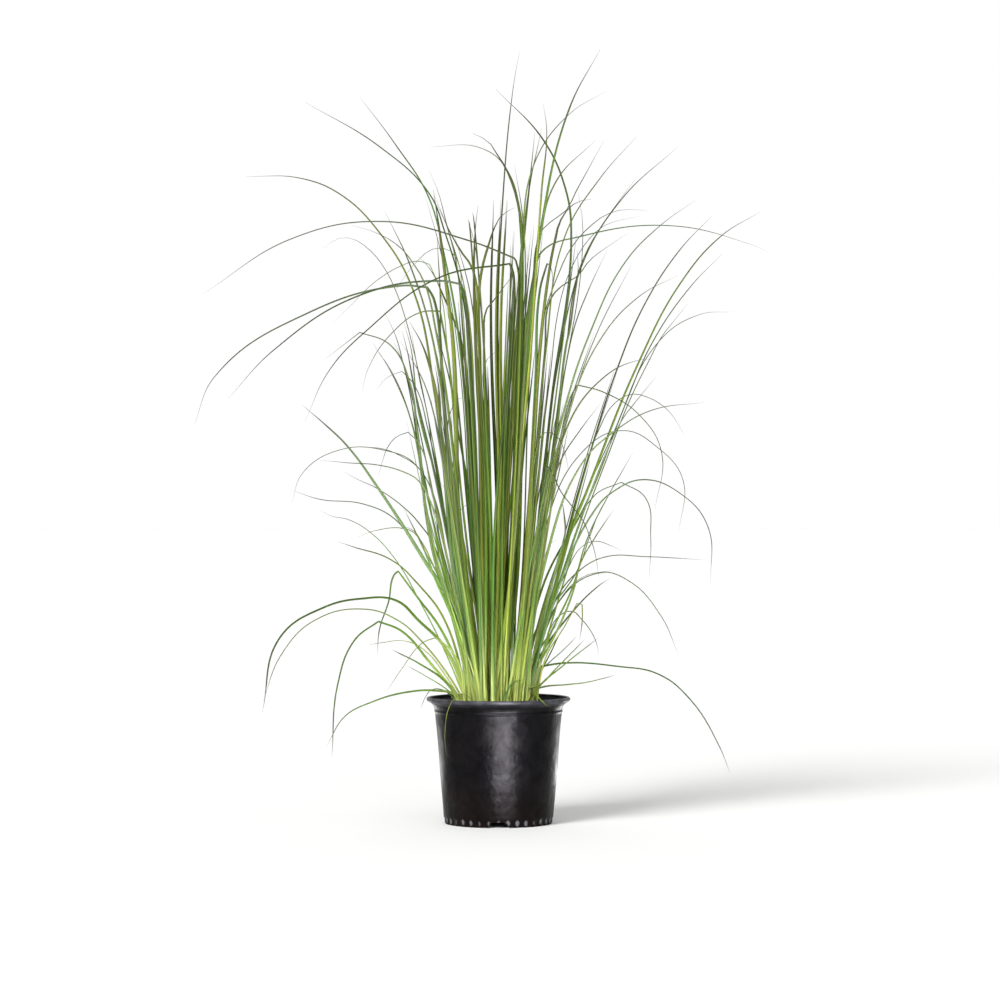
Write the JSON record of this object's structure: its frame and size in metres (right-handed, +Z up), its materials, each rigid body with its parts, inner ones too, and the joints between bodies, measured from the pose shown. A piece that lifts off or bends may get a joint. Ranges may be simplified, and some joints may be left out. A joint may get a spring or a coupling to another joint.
{
  "type": "potted ornamental grass clump",
  "caption": "Ornamental grass in a black nursery pot: a dense base of pale sheaths fans out into long, narrow, arching leaves with thread-fine tips.",
  "frame": {"origin": "the middle of the pot's underside, on the pot's axis, at the level that the pot stands on", "axes": "+Z up along the pot's axis, +X to the right and +Y to the back as seen in the picture"},
  "size_m": [0.6847, 0.6, 0.9164],
  "materials": {
    "nursery_plastic": "satin",
    "potting_mix": "matte",
    "grass_leaf": "satin"
  },
  "bodies": {
    "root": {"pot": "nursery_plastic", "soil": "potting_mix", "leaf_01": "grass_leaf", "leaf_02": "grass_leaf", "leaf_03": "grass_leaf", "leaf_04": "grass_leaf", "leaf_05": "grass_leaf", "leaf_06": "grass_leaf", "leaf_07": "grass_leaf", "leaf_08": "grass_leaf", "leaf_09": "grass_leaf", "leaf_10": "grass_leaf", "leaf_11": "grass_leaf", "leaf_12": "grass_leaf", "leaf_13": "grass_leaf", "leaf_14": "grass_leaf", "leaf_15": "grass_leaf", "leaf_16": "grass_leaf", "leaf_17": "grass_leaf", "leaf_18": "grass_leaf", "leaf_19": "grass_leaf", "leaf_20": "grass_leaf", "leaf_21": "grass_leaf", "leaf_22": "grass_leaf", "leaf_23": "grass_leaf", "leaf_24": "grass_leaf", "leaf_25": "grass_leaf", "leaf_26": "grass_leaf", "leaf_27": "grass_leaf", "leaf_28": "grass_leaf", "leaf_29": "grass_leaf", "leaf_30": "grass_leaf", "leaf_31": "grass_leaf", "leaf_32": "grass_leaf", "leaf_33": "grass_leaf", "leaf_34": "grass_leaf", "leaf_35": "grass_leaf", "leaf_36": "grass_leaf", "leaf_37": "grass_leaf", "leaf_38": "grass_leaf", "leaf_39": "grass_leaf", "leaf_40": "grass_leaf", "leaf_41": "grass_leaf", "leaf_42": "grass_leaf", "leaf_43": "grass_leaf", "leaf_44": "grass_leaf", "leaf_45": "grass_leaf", "leaf_46": "grass_leaf", "leaf_47": "grass_leaf", "leaf_48": "grass_leaf", "leaf_49": "grass_leaf", "leaf_50": "grass_leaf", "leaf_51": "grass_leaf", "leaf_52": "grass_leaf", "leaf_53": "grass_leaf", "leaf_54": "grass_leaf", "leaf_55": "grass_leaf", "leaf_56": "grass_leaf", "leaf_57": "grass_leaf", "leaf_58": "grass_leaf"}
  },
  "joints": []
}
